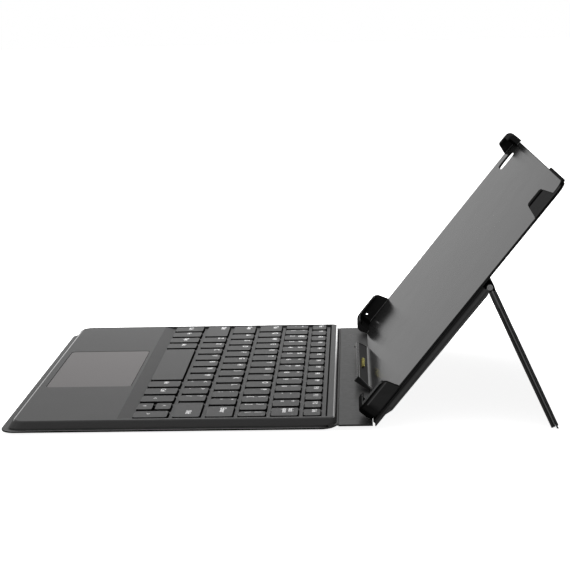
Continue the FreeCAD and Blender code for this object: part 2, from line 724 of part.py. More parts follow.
def lower_back_board():
    return block(-PANEL_HALF, PANEL_HALF, TRAY_START, PANEL_END, BOARD_BACK, TRAY_BACK)


def lower_back_pad():
    return block(-PANEL_HALF, PANEL_HALF, BACK_THIN_ZONE, PANEL_END - HINGE_LEAF, PAD_BACK_FACE, BOARD_BACK)


def back_skin_foot():
    return TRAY_START - BACK_INSET


def lower_back_skin():
    thin = BOARD_BACK - BACK_THIN_SKIN
    outline = [(back_skin_foot(), BOARD_BACK), (back_skin_foot(), thin), (BACK_THIN_ZONE - BACK_STEP, thin),
               (BACK_THIN_ZONE, BACK_FACE), (PANEL_END, BACK_FACE), (PANEL_END, PAD_BACK_FACE),
               (BACK_THIN_ZONE, PAD_BACK_FACE), (BACK_THIN_ZONE, BOARD_BACK)]
    return prism(outline, -COVER_HALF, COVER_HALF)


def knuckle_stretches(first):
    """X ranges of every second knuckle."""
    step = 2 * PANEL_HALF / KNUCKLES
    ranges = []
    for number in range(first, KNUCKLES, 2):
        left = -PANEL_HALF + number * step
        ranges.append((left + KNUCKLE_GAP / 2, left + step - KNUCKLE_GAP / 2))
    return ranges


def hinge_bore(y, z):
    return rod(HINGE_PIN_RADIUS + HINGE_BORE_CLEARANCE, -COVER_HALF, COVER_HALF, y, z)


def hinge_leaf_fixed():
    leaf = block(-PANEL_HALF, PANEL_HALF, PANEL_END - HINGE_LEAF, PANEL_END, PAD_BACK_FACE, BOARD_BACK)
    pieces = []
    for x0, x1 in knuckle_stretches(0):
        pieces.append(rod(HINGE_RADIUS, x0, x1, HINGE_AT, HINGE_DEPTH))
        pieces.append(block(x0, x1, PANEL_END, HINGE_AT, PAD_BACK_FACE, BOARD_BACK - HINGE_GAP / 2))
    return leaf.fuse(pieces).cut(hinge_bore(HINGE_AT, HINGE_DEPTH))


def hinge_pin():
    return rod(HINGE_PIN_RADIUS, -PANEL_HALF, PANEL_HALF, HINGE_AT, HINGE_DEPTH)


def leg_leaf_start():
    return HINGE_RADIUS + HINGE_GAP


def hinge_leaf_leg():
    half_board = LEG_BOARD / 2
    start = leg_leaf_start()
    leaf = block(-PANEL_HALF, PANEL_HALF, start, start + LEG_LEAF, -half_board, half_board)
    pieces = []
    for x0, x1 in knuckle_stretches(1):
        pieces.append(rod(HINGE_RADIUS, x0, x1, 0, 0))
        pieces.append(block(x0, x1, 0, start, -half_board, half_board))
    return leaf.fuse(pieces).cut(hinge_bore(0, 0))


def leg_board():
    half_board = LEG_BOARD / 2
    return block(-PANEL_HALF, PANEL_HALF, leg_leaf_start() + LEG_LEAF, LEG_LENGTH, -half_board, half_board)


def leg_inner_skin():
    half_board = LEG_BOARD / 2
    return block(-COVER_HALF, COVER_HALF, LEG_SKIN_START, LEG_LENGTH, -half_board - LEG_SKIN, -half_board)


def leg_foot():
    """Length of the outer skin, whose hem stands on the desk."""
    hinge_height = tray_point(HINGE_AT, HINGE_DEPTH)[1]
    angle = math.radians(LEG_ANGLE)
    return (hinge_height + LEG_BOARD / 2 * math.cos(angle)) / math.sin(angle)


def leg_outer_skin():
    half_board = LEG_BOARD / 2
    return block(-COVER_HALF, COVER_HALF, LEG_SKIN_START, leg_foot(), half_board, half_board + LEG_SKIN)


def leg_point(along, out):
    """(U, N) on the tray of a point given along the opened leg and out of its middle."""
    turn = math.radians(-LEG_ANGLE - TRAY_ANGLE)
    u = HINGE_AT + along * math.cos(turn) - out * math.sin(turn)
    n = HINGE_DEPTH + along * math.sin(turn) + out * math.cos(turn)
    return u, n


def hinge_web():
    """Cloth from the back of the tray, round the hinge, to the outer skin of the leg."""
    clear = HINGE_RADIUS + HINGE_GAP
    top = (HINGE_AT + WEB_FROM_HINGE, TRAY_BACK)
    lap = leg_point(WEB_LAP, LEG_BOARD / 2 + LEG_SKIN)
    bend = leg_point(0, clear)
    t = WEB_THICKNESS
    outer_lap = leg_point(WEB_LAP, LEG_BOARD / 2 + LEG_SKIN + t)
    outer_bend = leg_point(0, clear + t)
    outline = [top, bend, lap, outer_lap, outer_bend, (top[0] + t, top[1])]
    half = COVER_HALF - WEB_INSET
    return prism(outline, -half, half)


def case_middle():
    """Y of the middle of the whole case, from the front hem to the foot of the leg."""
    hinge_y = tray_point(HINGE_AT, HINGE_DEPTH)[0]
    angle = math.radians(LEG_ANGLE)
    out = LEG_BOARD / 2 + LEG_SKIN
    foot_y = hinge_y + leg_foot() * math.cos(angle) + out * math.sin(angle)
    tray_y = max(tray_point(TRAY_TOP, TRAY_BACK)[0], tray_point(TRAY_TOP + CLIP_SWELL, PLATE_TOP)[0])
    return (FRONT + max(foot_y, tray_y)) / 2


def all_nodes():
    nodes = {
        "base_mat": base_mat(), "base_skin": base_skin(), "keyboard_base": keyboard_base(), "deck": deck(),
        "switch_membrane": switch_membrane(), "key_domes": key_domes(), "controller_board": controller_board(),
        "membrane_ribbon": membrane_ribbon(), "closing_magnets": closing_magnets(), "base_screws": base_screws(),
        "pad_switch": pad_switch(), "touchpad": touchpad(), "touchpad_board": touchpad_board(),
        "flap_inner_skin": flap_inner_skin(), "flap_board": flap_board(), "flap_outer_skin": flap_outer_skin(),
        "flap_foot": flap_foot(), "front_crease_strip": front_crease_strip(),
        "rear_crease_strip": rear_crease_strip(),
    }
    nodes.update(keys())
    for make in (tray_plate, tray_liner, clip_bottom_left, clip_bottom_right, clip_top_left, clip_top_right,
                 connector_rail, contact_block, contact_pins, lower_back_board, lower_back_pad, lower_back_skin,
                 hinge_leaf_fixed, hinge_pin, hinge_web):
        nodes[make.__name__] = on_tray(make())
    for make in (hinge_leaf_leg, leg_board, leg_inner_skin, leg_outer_skin):
        nodes[make.__name__] = on_leg(make())
    return nodes


os.makedirs("parts", exist_ok=True)
to_middle = Vector(0, -case_middle(), 0)
for name, shape in all_nodes().items():
    shape.translate(to_middle)
    shape.exportStep("parts/" + name + ".step")
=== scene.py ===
import json
import math

import bmesh
import bpy
from mathutils import Matrix, Vector

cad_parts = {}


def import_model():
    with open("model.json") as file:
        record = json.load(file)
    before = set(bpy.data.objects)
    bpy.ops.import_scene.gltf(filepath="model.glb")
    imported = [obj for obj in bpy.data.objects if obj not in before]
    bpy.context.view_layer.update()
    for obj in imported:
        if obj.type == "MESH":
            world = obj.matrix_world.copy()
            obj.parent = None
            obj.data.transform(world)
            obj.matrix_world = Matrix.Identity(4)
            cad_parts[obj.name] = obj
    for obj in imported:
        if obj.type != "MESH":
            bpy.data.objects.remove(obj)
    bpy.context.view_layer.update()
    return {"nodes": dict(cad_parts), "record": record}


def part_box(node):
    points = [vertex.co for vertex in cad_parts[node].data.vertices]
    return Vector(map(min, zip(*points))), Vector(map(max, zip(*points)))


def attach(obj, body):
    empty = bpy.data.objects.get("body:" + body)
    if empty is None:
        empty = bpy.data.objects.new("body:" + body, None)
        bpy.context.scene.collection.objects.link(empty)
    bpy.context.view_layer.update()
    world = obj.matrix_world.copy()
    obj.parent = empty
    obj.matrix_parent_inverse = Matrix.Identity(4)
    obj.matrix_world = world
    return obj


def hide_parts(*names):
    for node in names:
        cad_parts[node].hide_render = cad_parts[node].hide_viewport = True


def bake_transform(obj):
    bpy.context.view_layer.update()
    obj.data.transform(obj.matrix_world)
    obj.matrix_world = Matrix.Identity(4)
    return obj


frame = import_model()
nodes = frame["nodes"]
MM = 0.001

# The hinges as (Y, Z) in mm, and the ways up the tray and down the leg
HINGES = {joint["name"]: [place / MM for place in joint["pos_m"][1:]]
          for joint in frame["record"]["behaviour"]["joints"] if "pos_m" in joint}
TRAY_FOOT = HINGES["tray_fold"]
KICK_HINGE = HINGES["leg_fold"]
TRAY_LEAN = math.radians(51)
LEG_LEAN = math.radians(65.6)
TRAY_UP = (math.cos(TRAY_LEAN), math.sin(TRAY_LEAN))
LEG_DOWN = (math.cos(LEG_LEAN), -math.sin(LEG_LEAN))

# Edges that the paint and the leather keep to, in mm
COVER_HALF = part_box("base_skin")[1].x / MM
HEM_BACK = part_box("base_skin")[1].y / MM
HEM_CORNER = 9.0
DECK_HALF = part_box("deck")[1].x / MM
DECK_FRONT, DECK_BACK = (corner.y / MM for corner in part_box("deck"))
DECK_CORNER = 4.0
FLAP_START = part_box("flap_inner_skin")[0].y / MM


def grey(level):
    return (level, level, level, 1)


class Value:
    """A number, colour or vector inside a finish; arithmetic on it adds nodes."""

    def __init__(self, finish, socket):
        self.finish = finish
        self.socket = socket

    def math(self, operation, first, second):
        return self.finish.node("ShaderNodeMath", {"operation": operation}, {0: first, 1: second})

    def __add__(self, other):
        return self.math("ADD", self, other)

    __radd__ = __add__

    def __sub__(self, other):
        return self.math("SUBTRACT", self, other)

    def __rsub__(self, other):
        return self.math("SUBTRACT", other, self)

    def __mul__(self, other):
        return self.math("MULTIPLY", self, other)

    def __lt__(self, other):
        return self.math("LESS_THAN", self, other)

    def __gt__(self, other):
        return self.math("GREATER_THAN", self, other)


class Finish:
    """The nodes of one material, or of the room."""

    SOCKETS = {"color": "Base Color", "roughness": "Roughness", "metallic": "Metallic", "normal": "Normal",
               "coat": "Coat Weight", "coat_roughness": "Coat Roughness", "specular": "Specular IOR Level"}
    SHADE = grey(0.006)

    def __init__(self, owner):
        owner.use_nodes = True
        self.owner = owner
        self.tree = owner.node_tree
        self.tree.nodes.clear()
        self.shade = None

    def node(self, kind, settings=None, inputs=None, output=0):
        made = self.tree.nodes.new(kind)
        for name, setting in (settings or {}).items():
            setattr(made, name, setting)
        for key, given in (inputs or {}).items():
            if isinstance(given, Value):
                self.tree.links.new(given.socket, made.inputs[key])
            else:
                made.inputs[key].default_value = given
        return Value(self, made.outputs[output]) if made.outputs else None

    def place(self):
        return self.node("ShaderNodeTexCoord", output="Object")

    def along(self, vector, name):
        return self.node("ShaderNodeSeparateXYZ", inputs={"Vector": vector}, output=name)

    def axis(self, name):
        """Place along X, Y or Z, in mm."""
        return self.along(self.place(), name) * (1 / MM)

    def facing(self, name):
        """How squarely the surface faces along X, Y or Z, from -1 to 1."""
        return self.along(self.node("ShaderNodeTexCoord", output="Normal"), name)

    def from_point(self, point):
        """How far on from a (Y, Z) point, in mm."""
        return self.axis("Y") - point[0], self.axis("Z") - point[1]

    def up_tray(self):
        """How far up the tray, in mm."""
        y, z = self.from_point(TRAY_FOOT)
        return y * TRAY_UP[0] + z * TRAY_UP[1]

    def out_of_tray(self):
        """How far out of the tray's inner face, in mm."""
        y, z = self.from_point(TRAY_FOOT)
        return z * TRAY_UP[0] - y * TRAY_UP[1]

    def out_of_leg(self):
        """How far out of the middle of the leg, in mm."""
        y, z = self.from_point(KICK_HINGE)
        return z * LEG_DOWN[0] - y * LEG_DOWN[1]

    def noise(self, scale, detail, roughness, stretch=(1, 1, 1)):
        spot = self.node("ShaderNodeMapping", inputs={"Vector": self.place(), "Scale": stretch})
        return self.node("ShaderNodeTexNoise", inputs={
            "Vector": spot, "Scale": scale, "Detail": detail, "Roughness": roughness}, output="Fac")

    def brushing(self):
        """Fine marks drawn out along X."""
        return self.noise(scale=1400, detail=2, roughness=0.6, stretch=(0.06, 1, 1))

    def pebbles(self, scale):
        return self.node("ShaderNodeTexVoronoi", {"feature": "SMOOTH_F1"}, {
            "Vector": self.place(), "Scale": scale}, output="Distance")

    def within(self, value, low, high):
        return (value > low) * (value < high)

    def limited(self, value, low=0, high=1):
        return self.node("ShaderNodeClamp", inputs={"Value": value, "Min": low, "Max": high})

    def mix(self, factor, first, second):
        """Colour between two; the node's colours are its sockets 6 and 7, and its output 2."""
        return self.node("ShaderNodeMix", {"data_type": "RGBA"}, {0: factor, 6: first, 7: second}, output=2)

    def bump(self, height, strength, distance):
        """Relief of a height map; distance in mm."""
        return self.node("ShaderNodeBump", inputs={
            "Height": height, "Strength": strength, "Distance": distance * MM})

    def either(self, factor, first, second):
        return self.node("ShaderNodeMixShader", inputs={0: factor, 1: first, 2: second})

    def surface(self, **inputs):
        shader = self.node("ShaderNodeBsdfPrincipled", inputs={self.SOCKETS[k]: v for k, v in inputs.items()})
        if self.shade is not None:
            dark = self.node("ShaderNodeBsdfDiffuse", inputs={"Color": self.SHADE})
            shader = self.either(self.shade, shader, dark)
        self.node("ShaderNodeOutputMaterial", inputs={"Surface": shader})
        return self.owner


def finish(name):
    return Finish(bpy.data.materials.new(name))


def plain(f, color):
    return color


def moulded(name, level, roughness, specular, paint=plain, grain=0.25):
    """Finely spark-eroded plastic; paint changes its colour from place to place."""
    f = finish(name)
    fine = f.noise(scale=2600, detail=3, roughness=0.6)
    cloud = f.noise(scale=60, detail=2, roughness=0.5)
    color = f.mix(cloud, grey(level * 0.94), grey(level * 1.06))
    color = f.mix(fine * 0.5, color, grey(level * 1.1))
    return f.surface(color=paint(f, color), roughness=fine * 0.12 + (roughness - 0.06), specular=specular,
                     normal=f.bump(fine, strength=grain, distance=0.06))


def leather(name, level, roughness, specular, paint=plain):
    """Synthetic leather with a fine pebbled grain."""
    f = finish(name)
    pebbles = f.pebbles(scale=900)
    wave = f.noise(scale=220, detail=3, roughness=0.6)
    color = f.mix(pebbles, grey(level * 1.12), grey(level * 0.8))
    color = f.mix(wave * 0.4, color, grey(level * 1.15))
    return f.surface(color=paint(f, color), roughness=wave * 0.15 + (roughness - 0.07), specular=specular,
                     normal=f.bump(pebbles * 0.8 + wave * 0.4, strength=0.35, distance=0.12))


def polished(name, level, roughness, specular, paint=plain, coat=0.0):
    """Glossy moulding with faint swirls from handling."""
    f = finish(name)
    smudge = f.noise(scale=45, detail=4, roughness=0.6)
    swirl = f.noise(scale=700, detail=2, roughness=0.5, stretch=(1, 0.15, 0.15))
    color = f.mix(smudge, grey(level * 0.9), grey(level * 1.1))
    return f.surface(color=paint(f, color), roughness=smudge * 0.06 + swirl * 0.04 + (roughness - 0.05),
                     specular=specular, coat=coat, coat_roughness=0.08,
                     normal=f.bump(swirl, strength=0.04, distance=0.03))


def metal(name, color, roughness, metallic=1.0, paint=plain):
    """Brushed metal."""
    f = finish(name)
    brushed = f.brushing()
    tone = f.mix(brushed, (*[c * 0.85 for c in color], 1), (*color, 1))
    return f.surface(color=paint(f, tone), metallic=metallic, roughness=brushed * 0.15 + (roughness - 0.07),
                     normal=f.bump(brushed, strength=0.1, distance=0.03))


def hinge_metal(name):
    """Dark steel barrel with a painted highlight on its near end, and blackened leaves."""
    barrel_radius = 1.76
    f = finish(name)
    y, z = f.from_point(KICK_HINGE)
    barrel = y * y + z * z < barrel_radius ** 2
    brushed = f.brushing()
    # painted highlight on the end of the barrel that faces the near end
    steel = f.mix(f.facing("X") > 0.7, f.mix(brushed, grey(0.06), grey(0.1)), grey(0.45))
    return f.surface(color=f.mix(barrel, leg_paint(f, grey(0.1)), steel), metallic=barrel * 0.5,
                     roughness=brushed * 0.15 + 0.4, normal=f.bump(brushed, strength=0.1, distance=0.03))


def woven(name, level):
    """Plain weave of two sets of threads."""
    f = finish(name)
    weft, warp = [f.node("ShaderNodeTexWave", {"bands_direction": direction}, {
        "Vector": f.place(), "Scale": 900, "Distortion": 0.6}, output="Fac") for direction in ("X", "Y")]
    height = weft * 0.5 + warp * 0.5
    return f.surface(color=f.mix(height, grey(level * 0.7), grey(level * 1.2)), roughness=0.85, specular=0.3,
                     normal=f.bump(height, strength=0.3, distance=0.1))


def key_paint(f, color):
    """Flanks in painted shade, so that the gaps between the keys stay dark."""
    # painted shade on every face that does not look straight up
    f.shade = f.facing("Z") < 0.95
    return color


def deck_paint(f, color):
    """Flat grey flanks; painted highlights on front and back edges; painted shade on the slope, front rim and
    back step.
    """
    front_highlight = (DECK_FRONT + 3.17, DECK_FRONT + 3.77)
    back_highlight = (DECK_BACK - 1.33, DECK_BACK - 0.23)
    key_groove = (DECK_BACK - 5.53, DECK_BACK - 4.47)
    groove_top = 6.0
    up, y = f.facing("Z"), f.axis("Y")
    bevel_or_top = up > 0.6
    color = f.mix(up > 0.5, grey(0.08), color)
    # painted highlight along the front edge
    color = f.mix(f.within(y, *front_highlight) * bevel_or_top, color, grey(0.4))
    # painted highlight along the back edge, brightest at the far end
    highlight_brightest_at_far_end = f.limited(0.3 - f.axis("X") * 0.007, 0.3, 0.95)
    color = f.mix(f.within(y, *back_highlight) * bevel_or_top, color, highlight_brightest_at_far_end)
    # painted shade on the well floor at the step behind the keys, on the slope into the key well and on the
    # front rim
    groove_shade = f.within(y, *key_groove) * (f.axis("Z") < groove_top) * (up > 0.5)
    ramp_shade = (f.facing("Y") > 0.1) * (up > 0.9)
    front_rim_shade = (y < front_highlight[0]) * bevel_or_top
    f.shade = groove_shade + ramp_shade * 0.2 + front_rim_shade * 0.35
    return color


def pad_paint(f, color):
    """Slightly warm, with painted shade on its flanks."""
    # painted shade on the flanks
    f.shade = f.facing("Z") < 0.9
    return f.mix(0.5, color, (0.127, 0.114, 0.114, 1))


def hem_paint(f, color):
    """Upper face with painted light, brightest near the two ends, and painted shade on the edges that face
    the ends.
    """
    painted_light_brighter_beyond = COVER_HALF - 2.0
    across, x = f.facing("X"), f.axis("X")
    # painted shade on the edges that face the ends
    f.shade = across * across > 0.25
    # painted light on the upper face, brighter near the two ends
    lit = f.mix(x * x > painted_light_brighter_beyond ** 2, grey(0.08), grey(0.2))
    return f.mix(f.facing("Z") > 0.8, color, lit)


def clip_paint(f, color):
    """Black, with a streaky painted sheen on faces towards the near end of the case that fades to its rim,
    and painted highlights.
    """
    tray_middle = 100
    up, out, x = f.up_tray(), f.out_of_tray(), f.axis("X")
    near, far = x > 0, x < 0
    face = f.limited(f.facing("X") * 8 - 6.4)
    # painted reflection that makes the sheen streaky
    sheen_streaks = f.noise(scale=260, detail=2, roughness=0.5, stretch=(1, 0.2, 1)) * 0.5 + 0.75
    upper = (up > tray_middle) * f.within(out, 2.7, 8.8) * near
    lower = (up < tray_middle) * (out < 10.3) * f.limited(up * 0.1 - 0.5, 0.12, 0.42) * near
    # painted sheen on faces towards the near end, fainter on the far clips
    color = f.mix(face * (upper + lower * sheen_streaks + far * 0.3), color, grey(0.11))
    # painted highlight line along the far clips' lip
    color = f.mix(face * far * f.within(out, 2.2, 2.7), color, grey(0.3))
    # painted highlight band inside the near clips' rim
    color = f.mix(face * near * f.within(up, 6, 24) * f.within(out, 9.0, 9.7), color, grey(0.14))
    # faint painted highlight on faces that look out of the tray
    outwards = f.facing("Z") * TRAY_UP[0] - f.facing("Y") * TRAY_UP[1]
    return f.mix((outwards > 0.9) * f.within(up, 4, tray_middle), color, grey(0.05))


def rail_paint(f, color):
    """Pale painted highlights along both edges of the channel, black ends."""
    lit_half = 53.5
    out, x = f.out_of_tray(), f.axis("X")
    # painted highlights along both edges of the channel
    highlight_borders = (out < 3.7) + f.within(out, 10.15, 10.8)
    ends = (x * x > lit_half ** 2) + (f.facing("X") > 0.4)
    return f.mix(f.limited(ends), f.mix(highlight_borders, color, grey(0.27)), grey(0.003))


def contact_paint(f, color):
    """Bright tips on dull barrels, with dull sides."""
    barrel_top = 2.0
    tip = (f.up_tray() > barrel_top) * (f.facing("X") < 0.45)
    return f.mix(tip, (0.16, 0.13, 0.04, 1), color)


def leg_paint(f, color):
    """Pale line along the middle of the edge."""
    return f.mix(f.within(f.out_of_leg(), -0.1, 0.6), color, grey(0.33))


def back_paint(f, color):
    """Cut edge that goes from grey at the back to black at the tray."""
    return f.mix(f.limited(f.out_of_tray() * 1.6 + 0.6), color, grey(0.02))


def cut_edge(level):
    """Paint for leather with another grey on the edges that show at its two ends."""
    def paint(f, color):
        across = f.facing("X")
        return f.mix(across * across > 0.5, color, grey(level))

    return paint


# After each name and maker: grey level or colour, roughness, specular level or share of metal, and any paint
FINISHES = {name: maker(name, *look) for name, maker, *look in (
    ("deck_plastic", moulded, 0.065, 0.42, 0.4, deck_paint),
    ("key_plastic", moulded, 0.07, 0.45, 0.4, key_paint),
    ("pad_face", moulded, 0.12, 0.36, 0.45, pad_paint, 0.1),
    ("pan_plastic", moulded, 0.11, 0.5, 0.3),
    ("cover_skin", leather, 0.05, 0.5, 0.35, hem_paint),
    ("flap_skin", leather, 0.04, 0.3, 0.38),
    ("back_skin", leather, 0.03, 0.5, 0.35, cut_edge(0.1)),
    ("leg_skin", leather, 0.045, 0.5, 0.35, cut_edge(0.05)),
    ("leg_core", moulded, 0.035, 0.6, 0.3, leg_paint),
    ("back_core", moulded, 0.09, 0.6, 0.2, back_paint),
    ("stiffener_board", moulded, 0.03, 0.6, 0.3),
    ("pad_foam", moulded, 0.12, 0.8, 0.2),
    ("crease_cloth", woven, 0.05),
    ("mat_rubber", moulded, 0.03, 0.7, 0.3),
    ("tray_black", moulded, 0.02, 0.45, 0.15),
    ("tray_gloss", polished, 0.01, 0.15, 0.54),
    ("clip_black", polished, 0.006, 0.3, 0.0, clip_paint, 0.05),
    ("rail_black", polished, 0.02, 0.25, 0.4, rail_paint),
    ("contact_plastic", moulded, 0.03, 0.5, 0.1),
    ("contact_gold", metal, (1.0, 0.92, 0.25), 0.3, 0.1, contact_paint),
    ("hinge_steel", hinge_metal),
    ("membrane_film", moulded, 0.02, 0.4, 0.4),
    ("dome_rubber", moulded, 0.03, 0.7, 0.3),
    ("circuit_board", moulded, 0.03, 0.5, 0.4),
    ("magnet_metal", metal, (0.6, 0.6, 0.6), 0.3),
    ("screw_steel", metal, (0.5, 0.5, 0.5), 0.3),
    ("switch_plastic", moulded, 0.03, 0.5, 0.3),
)}
LEGEND = moulded("legend_ink", 0.8, 0.5, 0.3, grain=0.05)

SLOTS = {part["node"]: part["material_slot"] for part in frame["record"]["subparts"]}
for name, slot in SLOTS.items():
    held = nodes[name].data.materials
    held.clear()
    held.append(FINISHES[slot])


def piece(name, bm, slot, material=None):
    """Object from a bmesh, painted with the finish of its slot or with another material."""
    mesh = bpy.data.meshes.new(name)
    bm.to_mesh(mesh)
    bm.free()
    made = bpy.data.objects.new(name, mesh)
    bpy.context.scene.collection.objects.link(made)
    mesh.materials.append(material or FINISHES[slot])
    return made


# Gap between two keys and thickness of the ink in mm, and by what share of their size letters are fattened
KEY_GAP = 2.8
INK = 0.02
INK_SPREAD = 0.018

# Legends: size and inset from the key's left edge in mm, and how far up the key the foot of the letters is
LETTER = (4.9, 1.9, 0.64)
UPPER = (4.4, 1.9, 0.66)
LOWER = (4.6, 1.9, 0.24)
FUNCTION = (3.8, 1.6, 0.5)
WORD = (4.2, 2.0, 0.62)
FIRST_LINE = (4.0, 2.0, 0.64)
SECOND_LINE = (4.0, 2.0, 0.42)
FRONT_WORD = (4.0, 2.0, 0.48)
MIDDLE_WORD = (4.6, 4.0, 0.5)
END_WORD = (4.2, 18.0, 0.45)
ARROW = (4.0, 5.5, 0.35)


def pairs(upper, lower, first=UPPER, second=LOWER):
    return [((top, *first), (bottom, *second)) for top, bottom in zip(upper, lower)]


def singles(texts, style):
    return [((text, *style),) for text in texts]


# Each node of keys, the widths of its keys next to one another, and their legends
LABELS = (
    ("escape_key", (1,), singles(("Esc",), FUNCTION)),
    ("function_keys", (1,) * 13, singles(["F%d" % n for n in range(1, 13)] + ["Del"], FUNCTION)),
    ("number_keys", (0.8,) + (1,) * 12, pairs("~!@#$%^&*()_+", "`1234567890-=")),
    ("backspace_key", (1.2,), pairs(("back",), ("space",), FIRST_LINE, SECOND_LINE)),
    ("tab_key", (1.2,), singles(("Tab",), WORD)),
    ("upper_letter_keys", (1,) * 12, singles("QWERTYUIOP", LETTER) + pairs("{}", "[]")),
    ("backslash_key", (0.8,), pairs("|", "\\")),
    ("caps_lock_key", (1.5,), singles(("Caps",), WORD)),
    ("home_letter_keys", (1,) * 11, singles("ASDFGHJKL", LETTER) + pairs(':"', ";'")),
    ("enter_key", (1.5,), singles(("Enter",), MIDDLE_WORD)),
    ("left_shift_key", (2,), singles(("Shift",), WORD)),
    ("lower_letter_keys", (1,) * 10, singles("ZXCVBNM", LETTER) + pairs("<>?", ",./")),
    ("right_shift_key", (2,), singles(("Shift",), END_WORD)),
    ("left_modifier_keys", (1,) * 4, singles(("Ctrl", "Fn", "Opt", "Alt"), FRONT_WORD)),
    ("right_modifier_keys", (1,) * 2, singles(("Alt", "Ctrl"), FRONT_WORD)),
    ("left_arrow_key", (1,), singles("<", ARROW)),
    ("up_arrow_key", (1,), singles("^", ARROW)),
    ("down_arrow_key", (1,), singles("v", ARROW)),
    ("right_arrow_key", (1,), singles(">", ARROW)),
)


def letters(text, size, x, y, z):
    """Thin raised lettering that starts at x, standing on y; the size in mm, the place in metres."""
    curve = bpy.data.curves.new("legend", "FONT")
    curve.body = text
    curve.size = size * MM
    curve.extrude = INK * MM
    curve.offset = curve.size * INK_SPREAD
    curve.resolution_u = 3
    carrier = bpy.data.objects.new("legend", curve)
    mesh = bpy.data.meshes.new_from_object(carrier)
    bpy.data.objects.remove(carrier)
    mesh.transform(Matrix.Translation((x, y, z + INK * MM)))
    return mesh


def legends():
    for node, widths, labels in LABELS:
        low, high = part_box(node)
        pitch = (high.x - low.x + KEY_GAP * MM) / sum(widths)
        bm = bmesh.new()
        left = low.x
        for width, lines in zip(widths, labels):
            for text, size, inset, foot in lines:
                y = low.y + (high.y - low.y) * foot
                bm.from_mesh(letters(text, size, left + inset * MM, y, high.z))
            left += width * pitch
        made = piece(node + "_legend", bm, "key_plastic", LEGEND)
        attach(made, node + "_body")


def tray_point(up, out):
    """(Y, Z) in metres of a point up the tray and out of its inner face, both in mm."""
    return ((TRAY_FOOT[0] + TRAY_UP[0] * up - TRAY_UP[1] * out) * MM,
            (TRAY_FOOT[1] + TRAY_UP[1] * up + TRAY_UP[0] * out) * MM)


def leg_point(down, out):
    """(Y, Z) in metres of a point down the leg from its hinge and out of its middle, both in mm."""
    return ((KICK_HINGE[0] + LEG_DOWN[0] * down - LEG_DOWN[1] * out) * MM,
            (KICK_HINGE[1] + LEG_DOWN[1] * down + LEG_DOWN[0] * out) * MM)


def round_edges(bm, edges, radius, segments):
    bmesh.ops.bevel(bm, geom=edges, offset=radius * MM, affect="EDGES", segments=segments, profile=0.5,
                    material=-1)


def smooth_faces(bm):
    for each in bm.faces:
        each.smooth = True


def leather_piece(name, bm, node, body):
    """Piece that takes a CAD skin's place on its body, shaded so that its corners stay sharp."""
    smooth_faces(bm)
    made = piece(name, bm, SLOTS[node])
    made.modifiers.new("weighted", "WEIGHTED_NORMAL").keep_sharp = True
    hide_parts(node)
    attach(made, body)
    return made


def strip(name, node, body, outline, rounding):
    """Leather with the (Y, Z) outline given in metres, running across the whole case, its edges rounded."""
    half = COVER_HALF * MM
    bm = bmesh.new()
    face = bm.faces.new([bm.verts.new((-half, y, z)) for y, z in outline])
    run = bmesh.ops.extrude_face_region(bm, geom=[face])["geom"]
    near_end = [v for v in run if isinstance(v, bmesh.types.BMVert)]
    bmesh.ops.translate(bm, vec=(2 * half, 0, 0), verts=near_end)
    bmesh.ops.recalc_face_normals(bm, faces=bm.faces[:])
    round_edges(bm, bm.edges[:], rounding, segments=3)
    return leather_piece(name, bm, node, body)


def rise(edge):
    first, second = edge.verts
    return abs(first.co.z - second.co.z)


def is_rim(edge):
    """Whether a level edge has a flat face on one side and an upright one on the other."""
    if rise(edge) > 0.001 * MM or len(edge.link_faces) != 2:
        return False
    first, second = edge.link_faces
    return abs(first.normal.z - second.normal.z) > 0.5


def cover_hem():
    """Skin under the keyboard, its rim standing out in front of the deck."""
    in_front, below = 1.8, 0.3
    low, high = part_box("base_skin")
    low = low - Vector((0, in_front, below)) * MM
    bm = bmesh.new()
    block = Matrix.Translation((low + high) / 2) @ Matrix.Diagonal((*(high - low), 1))
    bmesh.ops.create_cube(bm, size=1, matrix=block)
    upright = [e for e in bm.edges if rise(e) > (high.z - low.z) / 2]
    round_edges(bm, upright, HEM_CORNER, segments=12)
    round_edges(bm, [e for e in bm.edges if is_rim(e)], radius=0.15, segments=4)
    return leather_piece("cover_hem", bm, "base_skin", "keyboard")


def flap_skin(node):
    low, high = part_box(node)
    outline = [(low.y, low.z), (high.y, low.z), (high.y, high.z), (low.y, high.z)]
    return strip(node + "_leather", node, "flap", outline, rounding=0.1)


def back_skin():
    """Thin at the foot, then stepping out over the pad and thickening towards the kick hinge."""
    foot, pad_start, top = -0.4, 12.2, 94.6
    board, thin, pad = -0.9, -1.5, -2.2
    spots = ((foot, board), (foot, thin), (8.0, thin), (pad_start, -2.9), (93.2, -3.7), (top, -3.0),
             (top, pad), (pad_start, pad), (pad_start, board))
    outline = [tray_point(*spot) for spot in spots]
    return strip("back_skin_leather", "lower_back_skin", "tray", outline, rounding=0.12)


def leg_skin(node, spots):
    outline = [leg_point(*spot) for spot in spots]
    return strip(node + "_leather", node, "leg", outline, rounding=0.16)


def leg_skins():
    """The inner one is turned over the end of the board, and the outer one ends in a thin hem on the desk."""
    start, board, board_end = 2.6, 0.9, 83.35
    inner_end, outer_end = 84.1, 84.2
    inner = ((start, -1.3), (start, -board), (board_end, -board), (board_end, 0.4), (inner_end, 0.4),
             (inner_end, -2.0), (6.0, -2.0))
    outer = ((start, board), (3.4, 1.9), (8.0, 2.3), (outer_end, 2.1), (outer_end, 1.5), (86.0, 1.5),
             (85.55, 0.5), (board_end, 0.5), (board_end, board))
    return leg_skin("leg_inner_skin", inner), leg_skin("leg_outer_skin", outer)


